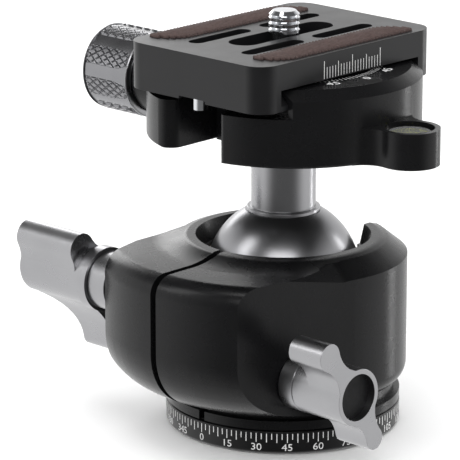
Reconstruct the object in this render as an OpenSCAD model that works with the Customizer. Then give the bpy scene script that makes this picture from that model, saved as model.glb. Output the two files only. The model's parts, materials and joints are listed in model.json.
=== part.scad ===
// Ball head for a tripod: pan base, split housing, 32 mm ball, stem,
// two-jaw clamp with bullseye level, and a quick-release plate.
// Origin: centre of the base's flat bottom. +Z is up, the plate lies along Y,
// the clamp knob points to -X and the housing's lug and slit to -Y.

/* [Pan base] */
// Radius of the dial on the pan base
base_r = 24.4; // [22:0.1:27]
// Height of the dial
base_h = 5.0; // [4:0.1:7]
// Chamfer round the bottom of the dial
base_chamfer = 0.6; // [0.2:0.1:1.2]
// Radius of the spigot that the housing turns on
spigot_r = 12.0; // [10:0.1:13]
// Wall radius of the tripod thread, 3/8 inch, 16 threads per inch
tripod_thread_r = 4.5; // [4:0.05:4.8]
// Outer radius of the steel thread insert
insert_r = 6.4; // [5.8:0.1:7.5]
// Thickness of the thrust washer under the housing
thrust_t = 0.3; // [0.2:0.05:0.6]

/* [Housing] */
// Radius of the round body
body_r = 25.7; // [25.5:0.1:28]
// Radius of the lug's end wall, about the pan axis
lug_r = 38.3; // [37:0.1:42]
// Half width of the lug at its end wall
lug_half = 18.6; // [17:0.1:20]
// Height of the rim round the ball opening
rim_z = 40.0; // [39.5:0.1:41]
// Drop from the rim to the flat shelf on the lug
shelf_drop = 1.4; // [1:0.1:2.5]
// Radius where the neck's sweep runs out into the shelf
neck_r = 27.5; // [25:0.1:30]
// Fillet along the lug's upper edge
lug_top_fillet = 4.0; // [2:0.1:6]
// Rounding along the lug's lower edge
lug_foot_round = 13.0; // [8:0.1:14]
// Rounding along the round body's lower edge
body_foot_round = 3.9; // [2:0.1:6]
// Radius where the bevel round the top starts, at rim height
bevel_r = 21.1; // [20:0.1:22]
// Half width between the lug's bevels, at rim height
bevel_half = 19.6; // [18:0.1:20]
// Run of the bevel outwards for each millimetre down
bevel_run = 1.25; // [1:0.05:1.5]
// Radius of the ball opening at the rim
opening_r = 18.2; // [17.8:0.1:18.6]
// Height of the underside of the body above the bench
foot_z = 9.4; // [8.8:0.1:10]
// Height of the satin collar above the dial
collar_h = 1.9; // [1:0.1:2.5]
// Depth of the shadow step above the collar
collar_step = 1.2; // [0.5:0.1:2]
// Width of the clamping slit
slit_w = 1.5; // [1:0.1:2]
// Half width of the notch that the stem drops into
notch_half = 7.7; // [7.2:0.1:8.5]

/* [Ball and stem] */
// Radius of the ball
ball_r = 16.0; // [15.6:0.1:16.2]
// Height of the ball's centre
ball_z = 31.3; // [30.8:0.1:31.8]
// Height of the ball's flat top above its centre
flat_rise = 13.9; // [13.5:0.1:14.3]
// Thickness of the cup under the ball
cup_t = 0.75; // [0.5:0.05:1.2]
// Radius of the stem
stem_r = 6.7; // [6:0.1:7]
// Radius of the ring at the stem's foot
stem_foot_r = 7.6; // [7.2:0.1:7.8]
// Height of the ring at the stem's foot
stem_foot_h = 0.8; // [0.5:0.1:1.5]
// Radius of the stem's pin in the ball and of its thread in the clamp
stem_pin_r = 4.0; // [3.5:0.1:4.5]
// Length of the stem's pin in the ball
stem_pin_h = 9.0; // [6:0.5:12]
// Length of the stem's thread in the clamp
stem_thread_h = 4.0; // [3:0.1:4.5]

/* [Clamp] */
// Height of the clamp's underside
clamp_z = 61.0; // [60.5:0.1:63]
// Thickness of the clamp
clamp_h = 15.5; // [15:0.1:17]
// Radius of the two clamp halves
clamp_r = 26.4; // [26:0.1:28]
// Distance from the stem axis to the centre of each half's arc
clamp_shift = 2.5; // [2:0.1:3.5]
// Height of the channel floor above the underside
floor_h = 10.0; // [9.6:0.1:10.8]
// Half length of the jaws that grip the plate
jaw_half = 19.5; // [17:0.1:20.5]
// Chamfer height round the top of the clamp
clamp_chamfer_h = 1.9; // [1:0.1:2.5]
// Chamfer width round the top of the clamp
clamp_chamfer_w = 2.3; // [1:0.1:3]
// Rounding round the clamp's underside
clamp_foot_round = 0.6; // [0.3:0.1:1.5]
// Distance from the stem axis to the fixed half's split face
fixed_face_x = 6.2; // [6:0.1:8]
// Half width of the block that carries the screw and pins
block_half = 12.4; // [11.5:0.1:14]
// Distance from the stem axis to the block's end
block_x = 7.2; // [7:0.1:7.6]
// Distance from the stem axis to the movable half's split face
jaw_face_x = 8.0; // [7.9:0.1:8.6]
// Height of the knob's axis above the clamp's underside
screw_rise = 6.6; // [6.4:0.1:7]
// Radius of the clamp's draw screw
draw_screw_r = 2.4; // [2:0.1:2.5]
// Radius of the guide pins
guide_pin_r = 1.5; // [1.2:0.1:1.8]
// Distance of the guide pins from the knob's axis
guide_pin_y = 8.5; // [7.5:0.1:9]
// Radius of the neck between the movable half and the knob
neck_boss_r = 8.0; // [7:0.1:8.5]
// Distance from the stem axis to the end of that neck
neck_boss_x = 35.8; // [34:0.1:37]

/* [Clamp knob] */
// Radius of the clamp knob
knob_r = 9.25; // [8.7:0.05:9.5]
// Length of the clamp knob
knob_len = 13.4; // [11:0.1:15]
// Number of smooth flutes round the knob
knob_flutes = 8; // [6:1:10]
// Depth of the flutes
flute_depth = 0.45; // [0.2:0.05:0.8]
// Radius of the cutter that leaves a flute
flute_cut_r = 3.0; // [2:0.1:5]
// Thickness of the washer behind the knob
knob_washer_t = 0.7; // [0.5:0.1:1]

/* [Level] */
// Distance from the stem axis to the level's centre
level_x = 33.9; // [33.9:0.1:35]
// Outer radius of the ear round the level
ear_r = 6.1; // [5.8:0.1:6.8]
// Height of the ear
ear_h = 7.4; // [6.5:0.1:8.5]
// Radius of the ear's bore
level_bore_r = 5.0; // [4.8:0.05:5]
// Depth of the ear's bore
level_depth = 4.2; // [3.5:0.1:5]
// Radius of the hollow curves that blend the ear into the clamp
ear_blend = 5.2; // [3:0.1:7]
// Rounding of the movable half's upright corners
nose_round = 3.0; // [2:0.1:4]
// Rounding of the fixed half's upright corners
corner_round = 1.4; // [1:0.1:2]

/* [Plate] */
// Width of the quick-release plate
plate_w = 38.0; // [37.6:0.1:38.4]
// Length of the plate
plate_l = 52.3; // [50:0.1:56]
// Height of the plate's top
plate_top = 82.3; // [82:0.1:84]
// Thickness of the plate
plate_t = 9.6; // [9.4:0.1:9.8]
// Corner radius of the plate
plate_corner = 4.6; // [3:0.1:5]
// Thickness of the plate's flange over the jaws
flange_t = 5.3; // [4.5:0.1:5.5]
// Depth of the dovetail grooves
groove_d = 3.2; // [2.5:0.1:3.3]
// How far the plate can slide between its end lips
slide_room = 2.1; // [1:0.1:2.4]
// Length of the screw slot between its end centres
screw_slot_l = 21.6; // [14:0.1:23]
// Half width of the screw slot
screw_slot_r = 3.3; // [3.25:0.05:3.6]
// Distance of the small slots from the middle
side_slot_x = 7.3; // [7:0.1:7.8]
// Radius of the small slots' ends
side_slot_r = 1.7; // [1.4:0.1:2]
// Length of each small slot between its end centres
side_slot_l = 13.4; // [8:0.1:14]
// Distance of the small slots from the middle of the plate's length
side_slot_y = 10.4; // [10:0.1:11]
// Width of the ribbed grip strips
strip_w = 6.4; // [5:0.1:6.8]
// Length of the grip strips
strip_l = 40.7; // [36:0.1:44]
// Distance from the plate's edge to the strip
strip_edge = 1.5; // [1:0.1:2]
// Depth of the recess that holds a strip
strip_recess = 0.6; // [0.4:0.1:0.8]
// Height of the strips above the plate
strip_proud = 0.6; // [0.3:0.05:0.9]
// Distance between the strips' ribs
rib_pitch = 0.95; // [0.9:0.01:1.6]

/* [Camera screw] */
// Radius of the camera thread, 1/4 inch, 20 threads per inch
camera_r = 3.175; // [3.1:0.005:3.2]
// Height of the thread above the plate
camera_proud = 4.8; // [4:0.1:6]
// Pitch of the camera thread
camera_pitch = 1.27; // [1:0.01:1.5]
// Radius of the screw's head in the plate
camera_head_r = 6.0; // [5.5:0.1:6.2]
// Height of the screw's head
camera_head_h = 3.0; // [2:0.1:3.2]

/* [Main knob] */
// Distance of the main knob's axis from the pan axis
main_y = 27.3; // [26.8:0.1:28]
// Height of the main knob's axis
main_z = 30.9; // [30:0.1:31.2]
// Radius of the main knob's hub
main_hub_r = 6.25; // [5.8:0.05:6.4]
// Distance from the slit to the knob's outer end
main_end_x = 44.0; // [42:0.1:48]
// Distance from the slit to the inner end of the wings
main_wing_x = 27.8; // [27:0.1:30]
// Reach of the short wing's round from the axis
main_short = 7.5; // [7.2:0.1:9]
// Reach of the long wing's round from the axis
main_long = 17.9; // [15:0.1:20]
// Angle of the short wing from upright
main_short_turn = 29.5; // [20:0.1:40]
// Angle of the long wing from upright
main_turn = 26.6; // [20:0.1:35]

/* [Pan knob] */
// Distance of the pan knob's axis from the pan axis
pan_y = 18.6; // [18:0.1:19]
// Height of the pan knob's axis
pan_z = 17.4; // [17:0.1:18]
// Radius of the pan knob's hub
pan_hub_r = 5.8; // [5.6:0.05:6.5]
// Distance from the slit to the knob's outer end
pan_end_x = 37.5; // [36:0.1:40]
// Length of the wings along the axis
pan_wing_l = 8.4; // [7:0.1:10]
// Reach of the long wing's round from the axis
pan_long = 13.3; // [11:0.1:13.5]
// Reach of the short wing's round from the axis
pan_short = 11.0; // [9:0.1:12]
// Angle of the long wing from upright
pan_long_turn = 39.8; // [30:0.1:42]
// Angle of the short wing from upright
pan_short_turn = 26.8; // [20:0.1:40]

/* [Hidden] */
$fn = 96;
// Running fit between turning or sliding faces
fit = 0.05;
// Gap that parts two faces which must not touch
gap = 0.2;
// Overshoot of a cut past the face it leaves
past = 1;
// Far reach of a cut that goes right out of the part
far = 60;

housing_z = base_h + thrust_t;
shelf_z = rim_z - shelf_drop;
collar_r = base_r;
step_r = collar_r - collar_step;
// Floor of the housing, its bore on the spigot and the keeper above it
floor_t = 3.2;
keeper_z = housing_z + floor_t + gap;
keeper_t = 1.6;
keeper_r = spigot_r + 1.8;
well_r = keeper_r + gap;
keeper_screw_r = 1.25;
keeper_screw_head_r = 2.3;
keeper_screw_l = 6;
keeper_screw_at = (insert_r + spigot_r) / 2;
insert_h = keeper_z - 0.4;

// Ball socket
cup_in = ball_r + fit;
cup_out = cup_in + cup_t;
socket_r = cup_out + fit;
cup_top_lat = 27;
cup_foot_lat = 60;
seat_z0 = ball_z + 0.9;
seat_z1 = ball_z + 4.1;
seat_out = ball_r + 1.5;
seat_lip_r = ball_r + 0.3;
lip_top_z = seat_z1 + 0.7;

// Side planes of the lug: tangents from its corners to the round body
lug_corner_y = sqrt(pow(lug_r, 2) - pow(lug_half, 2));
lug_corner_a = atan2(-lug_corner_y, lug_half);
tangent_a = lug_corner_a + acos(body_r / lug_r);
tangent_pt = [body_r * cos(tangent_a), body_r * sin(tangent_a)];
lug_pt = [lug_half, -lug_corner_y];
side_slope = (tangent_pt[0] - lug_pt[0]) / (tangent_pt[1] - lug_pt[1]);
function side_x(y) = lug_half + (lug_corner_y - y) * side_slope;

// Clamp levels
clamp_top = clamp_z + clamp_h;
clamp_floor = clamp_z + floor_h;
screw_z = clamp_z + screw_rise;
guide_z = screw_z - 0.8;
plate_z = plate_top - plate_t;
flange_z = plate_top - flange_t;
stem_z = ball_z + flat_rise;

// Dovetail of the plate: neck, 45 degree flank and foot
dove_neck = plate_w / 2 - groove_d;
dove_top = flange_z - 0.1;
jaw_clear = 0.1;

// Camera screw's pocket under the plate
pocket_top = plate_z + 4.0;
head_z = plate_z + 0.35;
screw_washer_t = 0.5;
screw_washer_z = head_z + camera_head_h + 0.05;
pocket_half = camera_head_r + 0.4;
// The thread starts just over the plate; a thinner neck runs in the slot
camera_neck_r = 2.6;
thread_foot = plate_top + 0.3;
end_groove_half = 3.6;
end_groove_h = 0.6;
stop_pin_r = 1.45;
stop_pin_y = plate_l / 2 - 2.5;
stop_pin_drop = 2.0;
// The plate rests near one end of its travel
plate_y = 0.2 - slide_room / 2;

// Strips
strip_x = plate_w / 2 - strip_edge - strip_w / 2;
strip_z = plate_top - strip_recess;
strip_top = plate_top + strip_proud;
rib_h = 0.35;
rib_w = rib_pitch * 0.55;

// Knob hardware
spot_r = 6.15;
spot_depth = 0.9;
main_collar_x = side_x(main_y) - spot_depth;
main_collar_r = 6.05;
main_flange_x = 24.1;
main_flange_l = 2.3;
main_flange_r = 6.8;
main_stud_r = 3.0;
main_stud_end = 14;
main_plug_r = 4.7;
plug_t = 1.2;
plug_sink = 1.0;
main_scoop_r = 12;
main_scoop_x = -main_end_x - 5.2;
main_scoop_reach = main_long - 1.6;
main_lobe_r = 3.3;
pan_lobe_r = 2.8;
long_lobe_r = 2.5;
pan_collar_x = side_x(pan_y) - spot_depth;
pan_collar_r = 5.8;
pan_hub_x = 25.0;
pan_stud_r = 2.5;
pan_stud_end = 12;
pan_plug_r = 4.8;
pan_plug_sink = 1.6;
pan_short_lobe_r = 2.3;

black = "#1c1c1e";
titanium = "#96979b";
steel = "#c4c6c9";
gunmetal = "#55565a";
brown = "#5a4440";
lime = "#c9cf4e";

// ---- shared shapes -------------------------------------------------------

// A cylinder along +X that starts at x
module rod_x(x, len, r) {
    translate([x, 0, 0]) rotate([0, 90, 0]) cylinder(h = len, r = r);
}

// A tapered cylinder along +X that starts at x
module taper_x(x, len, r_a, r_b) {
    translate([x, 0, 0]) rotate([0, 90, 0]) cylinder(h = len, r1 = r_a, r2 = r_b);
}

// Half section of a turned block, with its lower and upper outer edges rounded
module turned_section(r, z0, z1, r_low, r_top) {
    translate([0, z0]) square([r - r_low, z1 - z0]);
    translate([0, z0 + r_low]) square([r, z1 - r_top - z0 - r_low]);
    translate([0, z0 + r_low]) square([r - r_top, z1 - z0 - r_low]);
    translate([r - r_low, z0 + r_low]) circle(r_low);
    translate([r - r_top, z1 - r_top]) circle(r_top);
}

// A slot with round ends along Y, centred, cut from z0 up by h
module slot_y(len, r, z0, h) {
    translate([-r, -len / 2, z0]) cube([2 * r, len, h]);
    for (side = [-1, 1]) translate([0, side * len / 2, z0]) cylinder(h = h, r = r);
}

// Centre of the circle that blends a hub to a round at distance d
function blend_at(hub, round_r, d, blend) =
    let (a = hub + blend, b = round_r + blend, u = (a * a - b * b + d * d) / (2 * d))
    [u, sqrt(a * a - u * u)];

// Points along an arc about c, from angle a0 to a1
function arc(c, r, a0, a1, steps) = [
    for (i = [0:steps]) let (a = a0 + (a1 - a0) * i / steps) [c[0] + r * cos(a), c[1] + r * sin(a)]
];

function flipped(points) = [for (i = [len(points) - 1:-1:0]) [points[i][0], -points[i][1]]];

// Outline of a round at distance d, blended into a hub by two hollow curves.
// It lies along +X of its own plane. The round stops 3 degrees short of the
// blends, so no corner is repeated.
module wing_outline(hub, round_r, d, blend, steps = 24) {
    sink = 0.25;
    c = blend_at(hub - sink, round_r, d, blend);
    from = atan2(c[1], c[0]) + 180;
    to = atan2(-c[1], d - c[0]) + 360;
    side = concat([[c[0] * 0.2, c[1] * 0.2]], arc(c, blend, from, to, 10));
    round_end = to - 183;
    polygon(concat(side, arc([d, 0], round_r, round_end, -round_end, steps), flipped(side)));
}

// ---- pan base ------------------------------------------------------------

module pan_base() color(black) difference() {
    union() {
        cylinder(h = base_chamfer, r1 = base_r - base_chamfer, r2 = base_r);
        translate([0, 0, base_chamfer]) cylinder(h = base_h - base_chamfer, r = base_r);
        cylinder(h = keeper_z, r = spigot_r);
    }
    translate([0, 0, -past]) cylinder(h = keeper_z + 2 * past, r = insert_r);
    keeper_screw_places(keeper_screw_r, keeper_z - keeper_screw_l + keeper_t, keeper_screw_l);
}

module keeper_screw_places(r, z, h) {
    for (a = [30, 150, 270]) rotate(a) translate([keeper_screw_at, 0, z]) cylinder(h = h, r = r);
}

module thread_insert() color(steel) difference() {
    cylinder(h = insert_h, r = insert_r);
    translate([0, 0, -past]) cylinder(h = insert_h + 2 * past, r = tripod_thread_r);
}

module thrust_washer() color("#2b2b2c") translate([0, 0, base_h]) difference() {
    cylinder(h = thrust_t, r = base_r - 1.0);
    translate([0, 0, -past]) cylinder(h = thrust_t + 2 * past, r = spigot_r + gap);
}

module keeper_plate() color(steel) difference() {
    translate([0, 0, keeper_z]) cylinder(h = keeper_t, r = keeper_r);
    translate([0, 0, keeper_z - past]) cylinder(h = keeper_t + 2 * past, r = insert_r);
    keeper_screw_places(keeper_screw_r, keeper_z - past, keeper_t + 2 * past);
}

module keeper_screws() color(steel) {
    keeper_screw_places(keeper_screw_r, keeper_z + keeper_t - keeper_screw_l, keeper_screw_l);
    difference() {
        keeper_screw_places(keeper_screw_head_r, keeper_z + keeper_t, 1.3);
        keeper_screw_places(1.0, keeper_z + keeper_t + 0.5, 1.3);
    }
}

// ---- housing -------------------------------------------------------------

// Section of the sweep from the rim down to the shelf
module neck_section() {
    rise = rim_z - shelf_z;
    run = neck_r - (opening_r + 1.6);
    sweep_r = (run * run + rise * rise) / (2 * rise);
    difference() {
        translate([0, shelf_z - past]) square([neck_r, rise + past]);
        translate([neck_r, shelf_z + sweep_r]) circle(sweep_r, $fn = 240);
    }
}

module round_body() {
    rotate_extrude() {
        turned_section(body_r, foot_z, shelf_z, body_foot_round, 0.5);
        neck_section();
    }
    translate([0, 0, housing_z]) cylinder(h = collar_h, r = collar_r);
    translate([0, 0, housing_z + collar_h]) cylinder(h = foot_z - housing_z - collar_h + past, r = step_r);
}

module lug() {
    out = 1.3;
    intersection() {
        rotate_extrude() {
            turned_section(lug_r, foot_z, shelf_z, lug_foot_round, lug_top_fillet);
            neck_section();
        }
        linear_extrude(height = rim_z + past) polygon([
            tangent_pt,
            tangent_pt + (lug_pt - tangent_pt) * out,
            [-(tangent_pt + (lug_pt - tangent_pt) * out)[0], (tangent_pt + (lug_pt - tangent_pt) * out)[1]],
            [-tangent_pt[0], tangent_pt[1]]
        ]);
    }
}

// Everything inside the bevel that runs round the top
module bevel_bounds() {
    h = 8;
    wide = bevel_half + h * bevel_run;
    translate([0, 0, rim_z - h]) cylinder(h = h, r1 = bevel_r + h * bevel_run, r2 = bevel_r);
    rotate([90, 0, 0]) linear_extrude(height = far)
        polygon([[-wide, rim_z - h], [wide, rim_z - h], [bevel_half, rim_z], [-bevel_half, rim_z]]);
    cylinder(h = rim_z - h, r = far);
}

module socket_cuts() {
    // ball socket, seat groove, lip and flared opening
    translate([0, 0, ball_z]) intersection() {
        sphere(r = socket_r, $fn = 180);
        translate([0, 0, -far / 2]) cube([far, far, far], center = true);
    }
    translate([0, 0, ball_z - past / 10]) cylinder(h = seat_z0 - ball_z + past / 10, r = socket_r);
    translate([0, 0, seat_z0 - past / 10]) cylinder(h = seat_z1 - seat_z0 + past / 10, r = seat_out);
    translate([0, 0, seat_z1 - past]) cylinder(h = lip_top_z - seat_z1 + 2 * past, r = seat_lip_r);
    translate([0, 0, lip_top_z])
        cylinder(h = rim_z - lip_top_z + 0.01, r1 = seat_lip_r + 0.7, r2 = opening_r);
    // well for the keeper and bore on the spigot
    translate([0, 0, housing_z + floor_t]) cylinder(h = ball_z - housing_z - floor_t - 8, r = well_r);
    translate([0, 0, -past]) cylinder(h = far / 2, r = spigot_r + fit);
}

module stem_notch() {
    translate([0, 0, ball_z]) rotate([-90, 0, 0]) cylinder(h = far, r = notch_half);
    translate([-notch_half, 0, ball_z]) cube([2 * notch_half, far, far]);
}

module housing() color(black) difference() {
    intersection() {
        union() {
            round_body();
            lug();
        }
        bevel_bounds();
    }
    socket_cuts();
    stem_notch();
    translate([-slit_w / 2, -far, 0]) cube([slit_w, far, far]);
    translate([0, -main_y, main_z]) {
        rod_x(-far, far, main_stud_r + 0.15);
        rod_x(-past, main_stud_end + past + gap, main_stud_r + fit);
        rod_x(-far, far - main_collar_x, spot_r);
    }
    translate([0, -pan_y, pan_z]) {
        rod_x(0, far, pan_stud_r + 0.15);
        rod_x(-pan_stud_end - gap, pan_stud_end + past + gap, pan_stud_r + fit);
        rod_x(pan_collar_x, far, spot_r);
    }
}

module upper_seat() color("#3a3a3c") difference() {
    translate([0, 0, seat_z0]) cylinder(h = seat_z1 - seat_z0, r = seat_out);
    translate([0, 0, ball_z]) sphere(r = ball_r + fit, $fn = 180);
    stem_notch();
    translate([-slit_w / 2, -far, 0]) cube([slit_w, far, far]);
}

// ---- ball, cup and stem --------------------------------------------------

module ball_cup() color("#b9b2a0") translate([0, 0, ball_z]) difference() {
    sphere(r = cup_out, $fn = 180);
    sphere(r = cup_in, $fn = 180);
    translate([-far, -far, -cup_out * sin(cup_top_lat)]) cube([2 * far, 2 * far, far]);
    translate([-far, -far, -far - cup_out * sin(cup_foot_lat)]) cube([2 * far, 2 * far, far]);
}

module ball() color(gunmetal) difference() {
    translate([0, 0, ball_z]) sphere(r = ball_r, $fn = 180);
    translate([-far, -far, stem_z]) cube([2 * far, 2 * far, far]);
    translate([0, 0, stem_z - stem_pin_h - gap]) cylinder(h = stem_pin_h + 2 * past, r = stem_pin_r + fit);
}

module stem() color(titanium) {
    translate([0, 0, stem_z]) cylinder(h = stem_foot_h, r = stem_foot_r);
    translate([0, 0, stem_z]) cylinder(h = clamp_z - stem_z, r = stem_r);
    translate([0, 0, stem_z - stem_pin_h]) cylinder(h = stem_pin_h + 1, r = stem_pin_r);
    translate([0, 0, clamp_z - 1]) cylinder(h = stem_thread_h + 1, r = stem_pin_r);
}

// ---- clamp ---------------------------------------------------------------

// A full round of the clamp about its own centre, with chamfered top
module clamp_round() {
    rotate_extrude() {
        turned_section(clamp_r, clamp_z, clamp_top - clamp_chamfer_h, clamp_foot_round, 0.01);
        translate([0, clamp_z + clamp_foot_round]) polygon([
            [0, 0],
            [clamp_r, 0],
            [clamp_r, clamp_h - clamp_chamfer_h - clamp_foot_round],
            [clamp_r - clamp_chamfer_w, clamp_h - clamp_foot_round],
            [0, clamp_h - clamp_foot_round]
        ]);
    }
}

// The channel between the jaws: room over the floor and the +X jaw's dovetail
module channel_cut() {
    neck = dove_neck + jaw_clear;
    foot = neck + groove_d;
    translate([0, jaw_half, 0]) rotate([90, 0, 0]) linear_extrude(height = 2 * jaw_half) polygon([
        [-far, clamp_floor],
        [foot, clamp_floor],
        [foot, dove_top - groove_d + 0.1],
        [neck, dove_top + 0.1],
        [neck, far * 2],
        [-far, far * 2]
    ]);
    for (side = [-1, 1]) translate([-far, side > 0 ? jaw_half : -jaw_half - far, clamp_floor])
        cube([2 * far, far, far]);
}

// Cuts that round the two upright corners where a half's arc meets its split
// face. The half's centre is at +clamp_shift, and its face at face.
module corner_cut(face, r) {
    reach = clamp_r - r;
    c = [face + r, sqrt(pow(reach, 2) - pow(face + r - clamp_shift, 2))];
    out = (c - [clamp_shift, 0]) / reach;
    for (side = [0, 1]) mirror([0, side, 0]) linear_extrude(height = 2 * far) difference() {
        polygon([c, c + out * 3 * r, c + [-3 * r, 4 * r], c - [3 * r, 0]]);
        translate(c) circle(r + 0.02);
    }
}

module clamp_body() color(black) difference() {
    union() {
        translate([clamp_shift, 0, 0]) clamp_round();
        translate([clamp_shift, 0, clamp_z]) linear_extrude(height = ear_h)
            wing_outline(clamp_r, ear_r, level_x - clamp_shift, ear_blend, 48);
    }
    channel_cut();
    corner_cut(fixed_face_x, corner_round);
    // split face, left standing only at the block that carries screw and pins
    translate([fixed_face_x - far, block_half, 0]) cube([far, far, 2 * far]);
    translate([fixed_face_x - far, -block_half - far, 0]) cube([far, far, 2 * far]);
    translate([-block_x - far, -far, 0]) cube([far, 2 * far, 2 * far]);
    translate([0, 0, clamp_z - past]) cylinder(h = stem_thread_h + gap + past, r = stem_pin_r);
    translate([0, 0, screw_z]) rod_x(-far, far + block_x, draw_screw_r + fit);
    for (side = [-1, 1]) translate([0, side * guide_pin_y, guide_z])
        rod_x(-far, far + 4, guide_pin_r);
    translate([level_x, 0, clamp_z + ear_h - level_depth]) cylinder(h = far, r = level_bore_r);
}

module level_cup() color("#d9dadb") translate([level_x, 0, clamp_z + ear_h - level_depth]) difference() {
    cylinder(h = level_depth - 0.9, r = level_bore_r);
    translate([0, 0, 0.6]) cylinder(h = level_depth, r = level_bore_r - 0.7);
}

module level_liquid() color(lime) translate([level_x, 0, clamp_z + ear_h - level_depth + 0.6])
    cylinder(h = level_depth - 1.9, r = level_bore_r - 0.7);

module level_window() color("#e8ecdf") translate([level_x, 0, clamp_z + ear_h - 1.3])
    cylinder(h = 0.4, r = level_bore_r - 0.7);

module movable_jaw() color(black) difference() {
    union() {
        translate([-clamp_shift, 0, 0]) clamp_round();
        translate([0, 0, screw_z]) rod_x(-neck_boss_x, neck_boss_x - clamp_shift - 10, neck_boss_r);
    }
    mirror([1, 0, 0]) {
        channel_cut();
        corner_cut(jaw_face_x, nose_round);
    }
    translate([-jaw_face_x, -far, 0]) cube([2 * far, 2 * far, 2 * far]);
    translate([0, 0, screw_z]) rod_x(-far, far, draw_screw_r + gap);
    for (side = [-1, 1]) translate([0, side * guide_pin_y, guide_z]) {
        rod_x(-20, 20, guide_pin_r + fit);
        rod_x(-jaw_face_x - 4.2, 10, guide_pin_r + 1.3);
    }
}

module guide_pins() color(steel) for (side = [-1, 1])
    translate([0, side * guide_pin_y, guide_z]) rod_x(-19, 19 + 3.5, guide_pin_r);

// Short coil springs round the guide pins, hidden in the jaw's pockets
module jaw_springs() color(steel) for (side = [-1, 1])
    translate([0, side * guide_pin_y, guide_z]) difference() {
        rod_x(-jaw_face_x - 4, jaw_face_x + 4 - block_x, guide_pin_r + 1.0);
        rod_x(-far, 2 * far, guide_pin_r + 0.15);
    }

module draw_screw() color(steel) translate([0, 0, screw_z])
    rod_x(-neck_boss_x - knob_washer_t - 8, neck_boss_x + knob_washer_t + 8 + 6, draw_screw_r);

module knob_washer() color(steel) translate([0, 0, screw_z]) difference() {
    rod_x(-neck_boss_x - knob_washer_t, knob_washer_t, neck_boss_r - 0.4);
    rod_x(-far, far, draw_screw_r + gap);
}

module clamp_knob() color(titanium) translate([0, 0, screw_z]) {
    inner = neck_boss_x + knob_washer_t + 0.1;
    outer = inner + knob_len;
    rim = 1.1;
    difference() {
        union() {
            taper_x(-outer, rim, knob_r - rim, knob_r);
            rod_x(-outer + rim, knob_len - 2 * rim, knob_r);
            taper_x(-inner - rim, rim, knob_r, knob_r - rim);
        }
        for (i = [0:knob_flutes - 1]) rotate([(i + 0.89) * 360 / knob_flutes, 0, 0])
            translate([0, knob_r + flute_cut_r - flute_depth, 0]) rod_x(-far, far, flute_cut_r);
        rod_x(-inner - 8, 20, draw_screw_r);
        rod_x(-outer - past, past + 0.8, knob_r - 3);
    }
}

// ---- plate ---------------------------------------------------------------

module rounded_slab(w, l, r, z0, z1) {
    translate([0, 0, z0]) {
        translate([-w / 2 + r, -l / 2, 0]) cube([w - 2 * r, l, z1 - z0]);
        translate([-w / 2, -l / 2 + r, 0]) cube([w, l - 2 * r, z1 - z0]);
        for (sx = [-1, 1], sy = [-1, 1])
            translate([sx * (w / 2 - r), sy * (l / 2 - r), 0]) cylinder(h = z1 - z0, r = r);
    }
}

// Dovetail groove along one long side, stopping short of both ends
module dovetail_groove() {
    half = jaw_half + slide_room / 2;
    translate([0, half, 0]) rotate([90, 0, 0]) linear_extrude(height = 2 * half) polygon([
        [plate_w / 2 + past, flange_z],
        [dove_neck, flange_z],
        [dove_neck, dove_top],
        [plate_w / 2 - 0.1, dove_top - groove_d + 0.1],
        [plate_w / 2 + past, dove_top - groove_d + 0.1]
    ]);
}

module strip_outline(grow) {
    w = strip_w / 2 + grow;
    l = strip_l / 2 + grow;
    bow = 6.2;
    intersection() {
        translate([-w, -l]) square([2 * w, 2 * l]);
        union() {
            translate([-w, -l + bow]) square([2 * w, 2 * (l - bow)]);
            translate([-w, -l + bow]) circle(2 * w);
            translate([w, l - bow]) circle(2 * w);
        }
    }
}

module plate() color("#232325") translate([0, plate_y, 0]) difference() {
    rounded_slab(plate_w, plate_l, plate_corner, plate_z, plate_top);
    dovetail_groove();
    mirror([1, 0, 0]) dovetail_groove();
    slot_y(screw_slot_l, screw_slot_r, plate_z - past, far);
    slot_y(screw_slot_l, pocket_half, plate_z - past, pocket_top - plate_z + past);
    translate([-end_groove_half, -far, plate_z - past])
        cube([2 * end_groove_half, 2 * far, end_groove_h + past]);
    for (sx = [-1, 1], sy = [-1, 1]) translate([sx * side_slot_x, sy * side_slot_y, 0])
        slot_y(side_slot_l, side_slot_r, plate_z - past, far);
    for (sx = [-1, 1]) translate([sx * strip_x, 0, strip_z]) linear_extrude(height = far) strip_outline(0);
    for (sy = [-1, 1]) translate([0, sy * stop_pin_y, plate_z - past])
        cylinder(h = 5 + past, r = stop_pin_r);
}

module grip_strip() color(brown) {
    ribs = floor(strip_l / rib_pitch);
    linear_extrude(height = strip_top - rib_h - strip_z) strip_outline(0);
    intersection() {
        linear_extrude(height = strip_top - strip_z) strip_outline(0);
        for (i = [0:ribs - 1])
            translate([-strip_w, (i - (ribs - 1) / 2) * rib_pitch - rib_w / 2, 0.1])
                cube([2 * strip_w, rib_w, strip_top - strip_z - 0.1]);
    }
}

module strip_left() translate([-strip_x, plate_y, strip_z]) grip_strip();

module strip_right() translate([strip_x, plate_y, strip_z]) grip_strip();

module stop_pins() color(steel) for (sy = [-1, 1])
    translate([0, plate_y + sy * stop_pin_y, plate_z - stop_pin_drop])
        cylinder(h = 5 + stop_pin_drop, r = stop_pin_r);

module screw_washer() color(steel) translate([0, 0, screw_washer_z]) difference() {
    cylinder(h = screw_washer_t, r = camera_head_r);
    translate([0, 0, -past]) cylinder(h = screw_washer_t + 2 * past, r = camera_neck_r + fit);
}

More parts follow.
